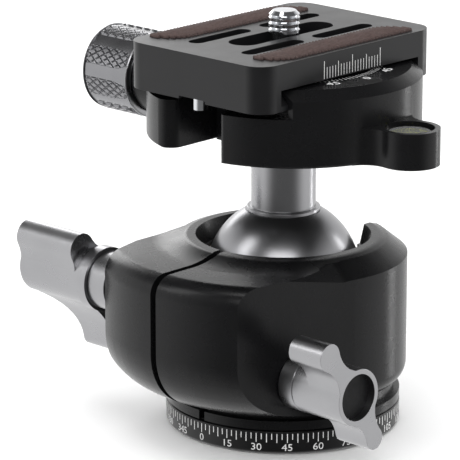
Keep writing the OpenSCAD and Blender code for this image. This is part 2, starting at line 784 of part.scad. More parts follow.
module camera_screw() color(steel) {
    top = plate_top + camera_proud;
    tip = 0.8;
    groove = 0.42;
    turns = floor((top - tip - 0.3 - thread_foot) / camera_pitch) + 1;
    difference() {
        union() {
            translate([0, 0, head_z]) cylinder(h = camera_head_h, r = camera_head_r);
            translate([0, 0, head_z]) cylinder(h = top - tip - head_z, r = camera_neck_r);
            translate([0, 0, thread_foot]) cylinder(h = top - tip - thread_foot, r = camera_r);
            translate([0, 0, top - tip]) cylinder(h = tip, r1 = camera_r, r2 = camera_r - tip);
        }
        // thread grooves, drawn as rings
        for (i = [0:turns - 1]) translate([0, 0, top - tip - 0.3 - i * camera_pitch]) rotate_extrude()
            polygon([[camera_r + 0.1, -0.45], [camera_r + 0.1, 0.45], [camera_r - groove, 0]]);
        translate([-far, -0.6, head_z - past]) cube([2 * far, 1.2, 1.2 + past]);
    }
}

// ---- main knob -----------------------------------------------------------

module main_collar() color(titanium) translate([0, -main_y, main_z]) difference() {
    rod_x(-main_flange_x + 0.1, main_flange_x - 0.1 - main_collar_x, main_collar_r);
    rod_x(-far, far, main_stud_r + 0.15);
}

module main_knob() color(titanium) translate([0, -main_y, main_z]) {
    wing_l = main_end_x - main_wing_x;
    difference() {
        union() {
            rod_x(-main_end_x, main_end_x - main_flange_x, main_hub_r);
            rod_x(-main_flange_x - main_flange_l, main_flange_l, main_flange_r);
            difference() {
                translate([-main_end_x, 0, 0]) rotate([90, 0, 90]) linear_extrude(height = wing_l) {
                    rotate(90 + main_short_turn) wing_outline(main_hub_r, main_lobe_r, main_short, 7);
                    rotate(270 + main_turn) wing_outline(main_hub_r, long_lobe_r, main_long, 17);
                }
                // the long wing's outer corner is hollowed towards its tip
                rotate([main_turn, 0, 0]) translate([main_scoop_x, 0, -main_scoop_reach]) {
                    rotate([90, 0, 0]) cylinder(h = 2 * far, r = main_scoop_r, center = true);
                    translate([-far, -far, -far]) cube([far + main_scoop_r - 0.3, 2 * far, far - 1.5]);
                }
            }
        }
        rod_x(-main_end_x + 8, far, main_stud_r);
        rod_x(-main_end_x - past, past + plug_sink + plug_t, main_plug_r);
    }
}

module main_stud() color(steel) translate([0, -main_y, main_z])
    rod_x(-main_end_x + 8, main_end_x - 8 + main_stud_end, main_stud_r);

module main_plug() color(black) translate([0, -main_y, main_z])
    rod_x(-main_end_x + plug_sink, plug_t, main_plug_r);

// ---- pan knob ------------------------------------------------------------

module pan_collar() color(titanium) translate([0, -pan_y, pan_z]) difference() {
    rod_x(pan_collar_x, pan_hub_x - 0.1 - pan_collar_x, pan_collar_r);
    rod_x(-far, 2 * far, pan_stud_r + 0.15);
}

module pan_knob() color(titanium) translate([0, -pan_y, pan_z]) difference() {
    union() {
        rod_x(pan_hub_x, pan_end_x - pan_hub_x, pan_hub_r);
        translate([pan_end_x - pan_wing_l, 0, 0]) rotate([90, 0, 90]) linear_extrude(height = pan_wing_l) {
            rotate(90 + pan_long_turn) wing_outline(pan_hub_r, pan_lobe_r, pan_long, 7);
            rotate(270 + pan_short_turn) wing_outline(pan_hub_r, pan_short_lobe_r, pan_short, 7);
        }
    }
    rod_x(-far, far + pan_end_x - 6, pan_stud_r);
    rod_x(pan_end_x - pan_plug_sink - plug_t, far, pan_plug_r);
}

module pan_stud() color(steel) translate([0, -pan_y, pan_z])
    rod_x(-pan_stud_end, pan_stud_end + pan_end_x - 6, pan_stud_r);

module pan_plug() color(black) translate([0, -pan_y, pan_z])
    rod_x(pan_end_x - pan_plug_sink - plug_t, plug_t, pan_plug_r);

pan_base();
thread_insert();
thrust_washer();
keeper_plate();
keeper_screws();
housing();
upper_seat();
ball_cup();
ball();
stem();
clamp_body();
level_cup();
level_liquid();
level_window();
movable_jaw();
guide_pins();
jaw_springs();
draw_screw();
knob_washer();
clamp_knob();
plate();
strip_left();
strip_right();
stop_pins();
screw_washer();
camera_screw();
main_collar();
main_knob();
main_stud();
main_plug();
pan_collar();
pan_knob();
pan_stud();
pan_plug();
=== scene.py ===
# %% [markdown]
# # A tripod ball head, dressed for its portrait
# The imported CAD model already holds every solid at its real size. This lesson
# gives those solids the look of the real object: bead-blasted black anodising,
# titanium-grey knobs, a dark ball, printed scales, a knurled grip and a level.
# Everything is in metres, in the CAD's own frame, so nothing is fitted by eye.

import json
import math

import bmesh
import bpy
from mathutils import Matrix, Vector

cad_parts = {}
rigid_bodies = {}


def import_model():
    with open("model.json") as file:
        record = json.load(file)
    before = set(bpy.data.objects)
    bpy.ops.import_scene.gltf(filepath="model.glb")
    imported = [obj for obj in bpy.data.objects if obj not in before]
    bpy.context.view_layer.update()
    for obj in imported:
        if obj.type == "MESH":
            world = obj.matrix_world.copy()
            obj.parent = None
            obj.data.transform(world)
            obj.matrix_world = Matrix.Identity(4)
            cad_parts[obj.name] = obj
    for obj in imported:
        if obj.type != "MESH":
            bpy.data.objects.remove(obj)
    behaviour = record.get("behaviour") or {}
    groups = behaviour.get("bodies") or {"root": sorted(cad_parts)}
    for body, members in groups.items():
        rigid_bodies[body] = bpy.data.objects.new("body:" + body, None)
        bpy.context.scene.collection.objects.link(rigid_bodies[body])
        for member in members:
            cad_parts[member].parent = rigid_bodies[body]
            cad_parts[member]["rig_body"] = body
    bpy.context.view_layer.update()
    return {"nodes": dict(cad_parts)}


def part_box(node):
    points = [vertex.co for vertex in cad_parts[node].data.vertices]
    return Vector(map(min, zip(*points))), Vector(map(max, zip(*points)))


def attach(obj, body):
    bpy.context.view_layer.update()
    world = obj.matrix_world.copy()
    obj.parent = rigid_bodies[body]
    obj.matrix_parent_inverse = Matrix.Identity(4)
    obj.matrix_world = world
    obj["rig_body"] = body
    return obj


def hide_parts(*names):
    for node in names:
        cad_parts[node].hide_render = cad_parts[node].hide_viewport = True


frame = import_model()
MM = 0.001

# %% [markdown]
# ## Finishes
# Real anodised aluminium is never one flat colour. Blasting leaves a fine grain
# that scatters the light, the dye takes a little unevenly, and hands polish it
# in soft clouds. A painted picture could show that too, but it would have to be
# fitted to each piece. So one builder makes all the satin finishes from noise:
# a cloudy colour, a cloudy roughness and a fine bump. They read Object
# coordinates, so the pattern stays put on every piece.

# %% Small helpers for node trees
def add_node(tree, kind, **inputs):
    """A new node, with its input sockets set by name or joined to a socket."""
    made = tree.nodes.new(kind)
    for name, value in inputs.items():
        put(tree, value, made.inputs[name.replace("_", " ")])
    return made


def put(tree, value, socket):
    """Join a socket to an input, or set the input to a plain value."""
    if isinstance(value, bpy.types.NodeSocket):
        tree.links.new(value, socket)
    else:
        socket.default_value = value


def new_material(name):
    """An empty material with a Principled shader: (material, tree, shader)."""
    made = bpy.data.materials.new(name)
    made.use_nodes = True
    tree = made.node_tree
    tree.nodes.clear()
    out = tree.nodes.new("ShaderNodeOutputMaterial")
    shader = tree.nodes.new("ShaderNodeBsdfPrincipled")
    tree.links.new(shader.outputs["BSDF"], out.inputs["Surface"])
    return made, tree, shader


# %% A cloud, a ramp between two values, and a grain
def cloud(tree, scale, detail=3.0):
    """Soft noise in Object coordinates; scale is in features per metre."""
    where = tree.nodes.new("ShaderNodeTexCoord").outputs["Object"]
    noise = add_node(tree, "ShaderNodeTexNoise", Vector=where, Scale=scale, Detail=detail)
    return noise.outputs["Fac"]


def between(tree, factor, low, high):
    """The factor's middle range, stretched to run from low to high."""
    spread = tree.nodes.new("ShaderNodeMapRange")
    put(tree, factor, spread.inputs["Value"])
    for socket, value in zip(spread.inputs[1:5], (0.35, 0.65, low, high)):
        socket.default_value = value
    return spread.outputs["Result"]


def two_tone(tree, factor, dark, light):
    """A colour ramp from dark to light over the middle of the factor."""
    ramp = tree.nodes.new("ShaderNodeValToRGB")
    put(tree, factor, ramp.inputs["Fac"])
    ramp.color_ramp.elements[0].position = 0.35
    ramp.color_ramp.elements[1].position = 0.65
    ramp.color_ramp.elements[0].color = (*dark, 1)
    ramp.color_ramp.elements[1].color = (*light, 1)
    return ramp.outputs["Color"]


def grain(tree, scale, depth, strength=0.5):
    """A fine bump, depth in metres."""
    height = cloud(tree, scale, 2.0)
    bump = add_node(tree, "ShaderNodeBump", Height=height, Strength=strength, Distance=depth)
    return bump.outputs["Normal"]


# %% The builder for every satin metal
def satin(name, dark, light, metallic, rough, grain_scale=9000, grain_depth=6e-6, ior=1.5):
    """A blasted, dyed metal. rough is the lowest and highest roughness."""
    made, tree, shader = new_material(name)
    patches = cloud(tree, 90)
    put(tree, two_tone(tree, patches, dark, light), shader.inputs["Base Color"])
    put(tree, between(tree, cloud(tree, 240), *rough), shader.inputs["Roughness"])
    put(tree, grain(tree, grain_scale, grain_depth), shader.inputs["Normal"])
    shader.inputs["Metallic"].default_value = metallic
    shader.inputs["IOR"].default_value = ior
    return made


body_black = satin(
    "black_satin", (0.0035, 0.0035, 0.0038), (0.0045, 0.0045, 0.0050), 0.0, (0.26, 0.29), ior=1.31
)
plate_black = satin(
    "plate_satin", (0.0055, 0.0055, 0.0060), (0.0070, 0.0070, 0.0078), 0.0, (0.31, 0.34), ior=1.38
)
dial_black = satin(
    "dial_satin", (0.0035, 0.0035, 0.0038), (0.0055, 0.0055, 0.0060), 0.0, (0.32, 0.40), ior=1.36
)
titanium = satin("titanium_grey", (0.335, 0.335, 0.345), (0.355, 0.355, 0.365), 1.0, (0.27, 0.30))
ball_grey = satin("ball_satin", (0.27, 0.27, 0.28), (0.285, 0.285, 0.295), 1.0, (0.28, 0.30))
knob_grey = satin("knob_satin", (0.235, 0.235, 0.245), (0.255, 0.255, 0.265), 1.0, (0.22, 0.26))
satins = (body_black, plate_black, dial_black, titanium, ball_grey, knob_grey)
print("satin finishes:", [finish.name for finish in satins])

# %% [markdown]
# ## Finishes that are not satin
# The camera screw and pins are bright turned steel: thin rings run round them,
# so their bump is a wave, not a cloud. The grips are a matt brown rubber.
# Paint, plastic and the level each get their own mix.

# %% Turned steel, with rings round Z
def turned_steel(name, tint, rough, ring_scale=900.0, direction="Z"):
    made, tree, shader = new_material(name)
    where = tree.nodes.new("ShaderNodeTexCoord").outputs["Object"]
    wave = add_node(tree, "ShaderNodeTexWave", Vector=where, Scale=ring_scale, Distortion=1.5)
    wave.bands_direction = direction
    bump = add_node(
        tree, "ShaderNodeBump", Height=wave.outputs["Fac"], Strength=0.25, Distance=4e-6
    )
    put(tree, bump.outputs["Normal"], shader.inputs["Normal"])
    lighter = tuple(min(1.0, c * 1.12) for c in tint)
    put(tree, two_tone(tree, cloud(tree, 300), tint, lighter), shader.inputs["Base Color"])
    put(tree, between(tree, cloud(tree, 700), *rough), shader.inputs["Roughness"])
    shader.inputs["Metallic"].default_value = 1.0
    return made


steel = turned_steel("turned_steel", (0.60, 0.61, 0.63), (0.12, 0.20))
steel_x = turned_steel("turned_steel_x", (0.55, 0.56, 0.58), (0.18, 0.26), direction="X")


# %% Rubber, plastic and paint
def matt(name, dark, light, rough, grain_scale, grain_depth, ior=1.5):
    """A matt skin: two tones, an even roughness and a visible grain."""
    made, tree, shader = new_material(name)
    put(tree, two_tone(tree, cloud(tree, 1500, 4.0), dark, light), shader.inputs["Base Color"])
    put(tree, between(tree, cloud(tree, 500), *rough), shader.inputs["Roughness"])
    put(tree, grain(tree, grain_scale, grain_depth, 0.8), shader.inputs["Normal"])
    shader.inputs["IOR"].default_value = ior
    return made


rubber = matt(
    "brown_rubber", (0.052, 0.031, 0.028), (0.074, 0.046, 0.041), (0.66, 0.80), 6000, 2e-5
)
plug_black = matt(
    "plug_black", (0.005, 0.005, 0.005), (0.007, 0.007, 0.008), (0.50, 0.56), 4000, 4e-6, ior=1.28
)
slide_ring = matt("bearing_ring", (0.34, 0.31, 0.26), (0.42, 0.39, 0.33), (0.45, 0.55), 5000, 6e-6)
paint = matt("scale_paint", (0.62, 0.62, 0.62), (0.80, 0.80, 0.80), (0.50, 0.65), 9000, 4e-6)
print("other finishes:", rubber.name, plug_black.name, slide_ring.name, paint.name)


# %% [markdown]
# ## The bullseye level
# The level is a shallow black dish of lime fluid under a clear window, with a
# dark ring to centre the bubble in. Real glass and fluid would need many light
# bounces to show that colour, so the window is thin and mostly see-through, and
# the fluid is a smooth coloured floor. The printed ring is a band of colour. The
# bubble is a pale disc of painted highlight inside a thin band of painted shade.
# All of these are set by the distance from the level's own axis.

# %% A smooth skin for the window and the fluid
def smooth_skin(name, rough, ior):
    """A skin without colour yet, its gloss a little cloudy, so that it glints."""
    made, tree, shader = new_material(name)
    put(tree, between(tree, cloud(tree, 900), *rough), shader.inputs["Roughness"])
    shader.inputs["IOR"].default_value = ior
    return made, tree, shader


window, window_tree, window_shader = smooth_skin("level_window", (0.02, 0.05), 1.25)
window_tint = two_tone(window_tree, cloud(window_tree, 400), (0.96, 0.97, 0.93), (1.0, 1.0, 1.0))
put(window_tree, window_tint, window_shader.inputs["Base Color"])
window_shader.inputs["Alpha"].default_value = 0.12
bezel = matt("level_bezel", (0.006, 0.006, 0.006), (0.009, 0.009, 0.009), (0.14, 0.20), 3000, 3e-6)

# %% The fluid, with its printed ring, and its bubble as painted highlight and shade
fluid, fluid_tree, fluid_shader = smooth_skin("level_fluid", (0.10, 0.16), 1.20)
fluid_low, fluid_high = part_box("level_liquid")
fluid_radius = 0.5 * (fluid_high.x - fluid_low.x)
here = add_node(
    fluid_tree,
    "ShaderNodeSeparateXYZ",
    Vector=fluid_tree.nodes.new("ShaderNodeTexCoord").outputs["Object"],
)
flat = add_node(fluid_tree, "ShaderNodeCombineXYZ", X=here.outputs["X"], Y=here.outputs["Y"])
from_axis = fluid_tree.nodes.new("ShaderNodeVectorMath")
from_axis.operation = "DISTANCE"
put(fluid_tree, flat.outputs[0], from_axis.inputs[0])
from_axis.inputs[1].default_value = (0.5 * (fluid_low.x + fluid_high.x), 0.0, 0.0)
share_out = fluid_tree.nodes.new("ShaderNodeMapRange")
put(fluid_tree, from_axis.outputs["Value"], share_out.inputs["Value"])
for socket, value in zip(share_out.inputs[1:5], (0.0, fluid_radius, 0.0, 1.0)):
    socket.default_value = value
# The bubble is painted light. Out to 0.27 of the radius is a painted highlight (lime_glint), and the thin
# dark band out to 0.31 is painted shade round it. The ink band is the printed ring.
lime, lime_glint, ink = (0.62, 0.68, 0.05), (0.86, 0.90, 0.40), (0.03, 0.03, 0.01)
bands = [(0.0, lime_glint), (0.27, (0.05, 0.06, 0.01)), (0.31, lime), (0.50, ink), (0.56, lime)]
ramp = fluid_tree.nodes.new("ShaderNodeValToRGB")
ramp.color_ramp.interpolation = "CONSTANT"
put(fluid_tree, share_out.outputs["Result"], ramp.inputs["Fac"])
while len(ramp.color_ramp.elements) < len(bands):
    ramp.color_ramp.elements.new(1.0)
for element, (start, colour) in zip(ramp.color_ramp.elements, bands):
    element.position = start
    element.color = (*colour, 1)
fluid_tree.links.new(ramp.outputs["Color"], fluid_shader.inputs["Base Color"])
print("the level's fluid is", round(2000 * fluid_radius, 1), "mm across")

# %% [markdown]
# ## Edges that catch the light
# A CAD solid has edges of no width, and they vanish in a render. Real edges are
# broken by a few tenths of a millimetre, and that thin strip is what draws
# the object's outline in a photograph. Each solid that shows is copied, its
# loose triangles are joined, and a Bevel modifier rounds its sharp edges. The
# faces keep the flat faces' normals, so the broad surfaces stay calm.

# %% Copy a CAD solid and break its edges
def joined_copy(node):
    """A bmesh copy of a CAD node with its flat faces whole again."""
    shape = bmesh.new()
    shape.from_mesh(frame["nodes"][node].data)
    bmesh.ops.remove_doubles(shape, verts=shape.verts, dist=1.5e-6)
    bmesh.ops.dissolve_limit(
        shape, angle_limit=math.radians(0.4), verts=shape.verts, edges=shape.edges
    )
    return shape


def settle(piece, name):
    """The piece's modifiers turned into a plain mesh, under the given name."""
    graph = bpy.context.evaluated_depsgraph_get()
    mesh = bpy.data.meshes.new_from_object(piece.evaluated_get(graph), depsgraph=graph)
    bpy.data.objects.remove(piece)
    mesh.name = name
    made = bpy.data.objects.new(name, mesh)
    bpy.context.scene.collection.objects.link(made)
    return made


def dressed(node, material, edge_mm=0.2, sharp=32.0, segments=2):
    """A CAD node's copy with broken edges, which then stands for the node."""
    shape = joined_copy(node)
    for edge in shape.edges:
        edge.smooth = edge.is_manifold and edge.calc_face_angle(0.0) < math.radians(sharp)
    for face in shape.faces:
        face.smooth = True
    mesh = bpy.data.meshes.new(node + "_raw")
    shape.to_mesh(mesh)
    shape.free()
    mesh.materials.clear()
    mesh.materials.append(material)
    raw = bpy.data.objects.new(node + "_raw", mesh)
    bpy.context.scene.collection.objects.link(raw)
    bevel = raw.modifiers.new("edges", "BEVEL")
    bevel.width = edge_mm * MM
    bevel.segments = segments
    bevel.limit_method = "ANGLE"
    bevel.angle_limit = math.radians(sharp)
    bevel.use_clamp_overlap = True
    bevel.miter_outer = "MITER_ARC"
    calm = raw.modifiers.new("calm", "WEIGHTED_NORMAL")
    calm.keep_sharp = True
    made = settle(raw, node + "_dressed")
    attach(made, frame["nodes"][node]["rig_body"])
    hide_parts(node)
    print("dressed", node, len(made.data.polygons), "faces")
    return made


def painted(material, *nodes):
    """CAD nodes that keep their own mesh get a finish."""
    for node in nodes:
        mesh = frame["nodes"][node].data
        mesh.materials.clear()
        mesh.materials.append(material)


# %% Dress the solids that show
dressed("housing", body_black, 0.30)
dressed("clamp_body", body_black, 0.30)
dressed("movable_jaw", body_black, 0.30)
dressed("plate", plate_black, 0.34)
dressed("pan_base", dial_black, 0.20)
dressed("stem", titanium, 0.12)
dressed("main_knob", titanium, 0.30)
dressed("pan_knob", titanium, 0.30)
dressed("main_collar", titanium, 0.15)
dressed("pan_collar", titanium, 0.15)

# %% Finish the solids that are already right
painted(ball_grey, "ball")
painted(steel, "thread_insert", "keeper_plate", "keeper_screws", "stop_pins", "screw_washer")
painted(steel, "camera_screw")
painted(steel_x, "guide_pins", "draw_screw", "jaw_springs", "knob_washer", "main_stud", "pan_stud")
painted(slide_ring, "upper_seat", "ball_cup")
painted(plug_black, "thrust_washer", "main_plug", "pan_plug")
painted(bezel, "level_cup")
painted(fluid, "level_liquid")
painted(window, "level_window")
print("all CAD nodes have a finish")

# %% [markdown]
# ## Geometry Nodes: one small workshop
# Ticks on a dial, ribs on a grip and the diamonds of a knurl all follow a rule,
# so they are described once, as a tree of nodes with named sizes, and then
# evaluated into a plain mesh. The helpers below build a tree, do its sums, and
# turn the result into a piece that rides on one body.

# %% Helpers for geometry trees
def new_tree(name, sizes):
    """A geometry tree with named number inputs: (tree, {name: socket}, output)."""
    tree = bpy.data.node_groups.new(name, "GeometryNodeTree")
    tree.interface.new_socket("Geometry", in_out="OUTPUT", socket_type="NodeSocketGeometry")
    for label, value in sizes.items():
        kind = "NodeSocketInt" if isinstance(value, int) else "NodeSocketFloat"
        tree.interface.new_socket(label, in_out="INPUT", socket_type=kind)
    source = tree.nodes.new("NodeGroupInput")
    end = tree.nodes.new("NodeGroupOutput")
    return tree, {label: source.outputs[label] for label in sizes}, end


def calc(tree, operation, a, b=0.0, c=0.0):
    """One Math node; its inputs are sockets or numbers."""
    made = tree.nodes.new("ShaderNodeMath")
    made.operation = operation
    for socket, value in zip(made.inputs, (a, b, c)):
        put(tree, value, socket)
    return made.outputs[0]


def vector(tree, x, y, z):
    """A vector from three sockets or numbers."""
    return add_node(tree, "ShaderNodeCombineXYZ", X=x, Y=y, Z=z).outputs[0]


def finish_tree(tree, geometry, material, end):
    """Real geometry with its material, as the export needs it."""
    real = add_node(tree, "GeometryNodeRealizeInstances", Geometry=geometry)
    dress = add_node(tree, "GeometryNodeSetMaterial", Geometry=real.outputs[0], Material=material)
    tree.links.new(dress.outputs[0], end.inputs[0])


def grow(name, tree, sizes, body):
    """Evaluate a tree with these sizes into a plain mesh that rides on a body."""
    seed = bpy.data.objects.new(name + "_seed", bpy.data.meshes.new(name + "_seed"))
    bpy.context.scene.collection.objects.link(seed)
    modifier = seed.modifiers.new("grow", "NODES")
    modifier.node_group = tree
    ids = {i.name: i.identifier for i in tree.interface.items_tree if i.in_out == "INPUT"}
    for label, value in sizes.items():
        modifier[ids[label]] = value
    made = settle(seed, name)
    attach(made, body)
    print("grew", name, len(made.data.polygons), "faces")
    return made


# %% [markdown]
# ## The dial's ticks
# The pan dial is marked every two and a half degrees, with every other tick
# longer. A line of points carries one small painted bar each: the point's index
# gives its angle and its length.

# %% One painted bar on each point
def lay_bars(tree, count, place, bar_size, end, turn=0.0):
    """A row of count bars of scale paint, placed, sized and turned about Z."""
    points = add_node(tree, "GeometryNodePoints", Count=count, Position=place)
    bar = add_node(tree, "GeometryNodeMeshCube", Size=(1.0, 1.0, 1.0))
    bars = add_node(
        tree,
        "GeometryNodeInstanceOnPoints",
        Points=points.outputs[0],
        Instance=bar.outputs[0],
        Rotation=vector(tree, 0.0, 0.0, turn),
        Scale=bar_size,
    )
    finish_tree(tree, bars.outputs[0], paint, end)


# %% Ticks round the dial
dial_radius = 24.4 * MM
dial_sizes = {"Count": 144, "Radius": dial_radius + 0.01 * MM, "Top": 4.55 * MM, "Long": 1.9 * MM,
              "Short": 1.25 * MM, "Width": 0.17 * MM, "Thickness": 0.06 * MM}
tree, size, end = new_tree("ring_ticks", dial_sizes)
index = tree.nodes.new("GeometryNodeInputIndex").outputs[0]
turn = calc(tree, "DIVIDE", calc(tree, "MULTIPLY", index, 2 * math.pi), size["Count"])
turn = calc(tree, "SUBTRACT", turn, math.pi / 2)
odd = calc(tree, "MODULO", index, 2.0)
shorter = calc(tree, "SUBTRACT", size["Short"], size["Long"])
length = calc(tree, "MULTIPLY_ADD", odd, shorter, size["Long"])
middle = calc(tree, "MULTIPLY_ADD", length, -0.5, size["Top"])
place = vector(
    tree,
    calc(tree, "MULTIPLY", calc(tree, "COSINE", turn), size["Radius"]),
    calc(tree, "MULTIPLY", calc(tree, "SINE", turn), size["Radius"]),
    middle,
)
lay_bars(tree, size["Count"], place, vector(tree, size["Thickness"], size["Width"], length), end, turn)
grow("dial_ticks", tree, dial_sizes, "base")

# %% [markdown]
# ## Numbers
# Numbers are set as text, turned into a mesh, and then each vertex is moved:
# what was flat is wrapped round the dial, or laid on the jaw's top. A modifier
# could bend the text too, but moving the vertices keeps the digits on the very
# surface. Only plain numbers are drawn; the object carries no name or mark.

# %% Flat text as a mesh
digit_share = 0.70  # a digit's height as a share of the font's size
widen = 1.15  # the engraver's digits are wider than the font's


def number_mesh(words, height):
    """Triangles of a centred number, height in metres, in its own XY plane."""
    curve = bpy.data.curves.new("number", "FONT")
    curve.body = words
    curve.align_x = "CENTER"
    curve.align_y = "CENTER"
    curve.size = height / digit_share
    curve.extrude = 0.03 * MM
    curve.resolution_u = 3
    holder = bpy.data.objects.new("number", curve)
    bpy.context.scene.collection.objects.link(holder)
    graph = bpy.context.evaluated_depsgraph_get()
    mesh = bpy.data.meshes.new_from_object(holder.evaluated_get(graph), depsgraph=graph)
    verts = [Vector((widen * v.co.x, v.co.y, v.co.z)) for v in mesh.vertices]
    faces = [tuple(p.vertices) for p in mesh.polygons]
    bpy.data.objects.remove(holder)
    return verts, faces


def gather(name, parts, material, body):
    """One piece from many lists of vertices and faces."""
    verts, faces = [], []
    for part_verts, part_faces in parts:
        faces += [tuple(i + len(verts) for i in face) for face in part_faces]
        verts += part_verts
    mesh = bpy.data.meshes.new(name)
    mesh.from_pydata(verts, [], faces)
    mesh.materials.append(material)
    made = bpy.data.objects.new(name, mesh)
    bpy.context.scene.collection.objects.link(made)
    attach(made, body)
    print("gathered", name, len(faces), "faces")
    return made


# %% Wrap the dial's numbers
dial_numbers = []
digits_middle = 1.55 * MM
for degrees in range(0, 360, 15):
    verts, faces = number_mesh(str(degrees), 1.45 * MM)
    start = math.radians(degrees - 90)
    wrapped = []
    for v in verts:
        angle = start + v.x / dial_radius
        reach = dial_radius + v.z
        height = digits_middle + v.y
        wrapped.append(Vector((reach * math.cos(angle), reach * math.sin(angle), height)))
    dial_numbers.append((wrapped, faces))
gather("dial_numbers", dial_numbers, paint, "base")

# %% Number the fixed jaw's top
jaw_numbers = []
jaw_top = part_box("clamp_body")[1].z
centre_x = 2.5 * MM
numbers_radius = 20.0 * MM
for words, degrees in (("45", -24.0), ("0", 0.0), ("45", 24.0)):
    verts, faces = number_mesh(words, 1.9 * MM)
    angle = math.radians(degrees)
    spin = Matrix.Rotation(angle, 4, "Z")
    laid = []
    for v in verts:
        flat = spin @ Vector((numbers_radius - v.y, v.x, 0.0))
        laid.append(flat + Vector((centre_x, 0.0, jaw_top + v.z)))
    jaw_numbers.append((laid, faces))
gather("jaw_numbers", jaw_numbers, paint, "clamp")

# %% [markdown]
# ## Scales on the plate and on the jaw
# The plate's side has a ruler of twenty divisions, long at the ends and the
# middle. The jaw's top has a short arc of lines between the plate and the
# numbers. Both follow a rule, so both are again points with one bar each.

# %% The ruler on the plate's side
ruler_sizes = {"Count": 21, "Start": -8.9 * MM, "Pitch": 0.84 * MM, "Face": 19.0 * MM,
               "Foot": 77.25 * MM, "Width": 0.14 * MM, "Thickness": 0.05 * MM}
tree, size, end = new_tree("ruler_ticks", ruler_sizes)
index = tree.nodes.new("GeometryNodeInputIndex").outputs[0]
fifth = calc(tree, "COMPARE", calc(tree, "MODULO", index, 5.0), 0.0, 0.1)
tenth = calc(tree, "COMPARE", calc(tree, "MODULO", index, 10.0), 0.0, 0.1)
length = calc(tree, "MULTIPLY_ADD", fifth, 0.7 * MM, 2.3 * MM)
length = calc(tree, "MULTIPLY_ADD", tenth, 0.65 * MM, length)
place = vector(
    tree,
    size["Face"],
    calc(tree, "MULTIPLY_ADD", index, size["Pitch"], size["Start"]),
    calc(tree, "MULTIPLY_ADD", length, 0.5, size["Foot"]),
)
lay_bars(tree, size["Count"], place, vector(tree, size["Thickness"], size["Width"], length), end)
grow("plate_ruler", tree, ruler_sizes, "plate")

# %% The arc of lines on the jaw
arc_sizes = {"Count": 25, "Step": math.radians(3.0), "Radius": 17.6 * MM, "Top": jaw_top,
             "Long": 1.5 * MM, "Width": 0.13 * MM, "Thickness": 0.04 * MM, "Centre": centre_x}
tree, size, end = new_tree("arc_ticks", arc_sizes)
index = tree.nodes.new("GeometryNodeInputIndex").outputs[0]
half = calc(tree, "MULTIPLY", calc(tree, "SUBTRACT", size["Count"], 1.0), 0.5)
turn = calc(tree, "MULTIPLY", calc(tree, "SUBTRACT", index, half), size["Step"])
place = vector(
    tree,
    calc(tree, "MULTIPLY_ADD", calc(tree, "COSINE", turn), size["Radius"], size["Centre"]),
    calc(tree, "MULTIPLY", calc(tree, "SINE", turn), size["Radius"]),
    size["Top"],
)
bar_size = vector(tree, size["Long"], size["Width"], size["Thickness"])
lay_bars(tree, size["Count"], place, bar_size, end, turn)
grow("jaw_ticks", tree, arc_sizes, "clamp")

# %% [markdown]
# ## The knurled grip
# The clamp knob is a drum with eight bands of diamond knurl, parted by smooth
# shallow flutes. A bump would leave its outline round, so the grooves are cut
# in the mesh. The surface follows one rule: the distance from the axis is a
# function of the angle and of the place along it. So the drum is a grid whose
# points are pushed out by that rule. Two families of slanting grooves cross,
# and a mask keeps them inside each band, which narrows to the inner end.

# %% The rule for the knurl
knob_low, knob_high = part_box("clamp_knob")
knurl_sizes = {"Around": 760, "Along": 120, "Inner": knob_high.x - 0.35 * MM,
               "Length": knob_high.x - knob_low.x - 0.9 * MM,
               "Axis": 0.5 * (knob_low.z + knob_high.z),
               "Radius": 0.5 * (knob_high.z - knob_low.z), "Depth": 0.45 * MM, "Flute": 0.40 * MM,
               "Bands": 8, "Starts": 36.0, "Lead": 5.2, "Phase": 0.89}
tree, size, end = new_tree("knurled_drum", knurl_sizes)
grid = add_node(
    tree, "GeometryNodeMeshGrid", Size_X=1.0, Size_Y=1.0,
    Vertices_X=size["Along"], Vertices_Y=calc(tree, "ADD", size["Around"], 1),
)
position = tree.nodes.new("GeometryNodeInputPosition").outputs[0]
spot = add_node(tree, "ShaderNodeSeparateXYZ", Vector=position)
along = calc(tree, "ADD", spot.outputs["X"], 0.5)
share = calc(tree, "ADD", spot.outputs["Y"], 0.5)
angle = calc(tree, "MULTIPLY", share, 2 * math.pi)


def groove(sign):
    """1 on the floor of one family of slanting grooves, 0 on the lands."""
    lines = calc(tree, "MULTIPLY", share, size["Starts"])
    slant = calc(tree, "MULTIPLY", calc(tree, "MULTIPLY", along, size["Lead"]), sign)
    lines = calc(tree, "ADD", lines, slant)
    wave = calc(tree, "PINGPONG", lines, 0.5)
    depth = tree.nodes.new("ShaderNodeMapRange")
    put(tree, wave, depth.inputs["Value"])
    for socket, value in zip(depth.inputs[1:5], (0.08, 0.15, 1.0, 0.0)):
        socket.default_value = value
    return depth.outputs["Result"]


cut = calc(tree, "MAXIMUM", groove(1.0), groove(-1.0))

# %% The mask of the bands, and the flutes between them
band = calc(tree, "FRACT", calc(tree, "MULTIPLY_ADD", share, size["Bands"], size["Phase"]))
from_middle = calc(tree, "ABSOLUTE", calc(tree, "SUBTRACT", band, 0.5))
near_inner = calc(tree, "MAXIMUM", calc(tree, "SUBTRACT", 0.35, along), 0.0)
narrower = calc(tree, "MULTIPLY", calc(tree, "MULTIPLY", near_inner, near_inner), 1.2)
taper = calc(tree, "SUBTRACT", 0.30, narrower)
inside = calc(tree, "SUBTRACT", taper, from_middle)
mask = tree.nodes.new("ShaderNodeMapRange")
put(tree, inside, mask.inputs["Value"])
for socket, value in zip(mask.inputs[1:5], (0.0, 0.02, 0.0, 1.0)):
    socket.default_value = value
mask = mask.outputs["Result"]
from_outer = calc(tree, "SUBTRACT", 1.0, along)
ends = calc(tree, "MULTIPLY", calc(tree, "MINIMUM", along, from_outer), 14.0)
ends = calc(tree, "MINIMUM", calc(tree, "MAXIMUM", ends, 0.0), 1.0)
mask = calc(tree, "MULTIPLY", mask, ends)
hollow = calc(tree, "SUBTRACT", 1.0, mask)
flute = calc(tree, "MULTIPLY", hollow, size["Flute"])
reach = calc(tree, "SUBTRACT", size["Radius"], flute)
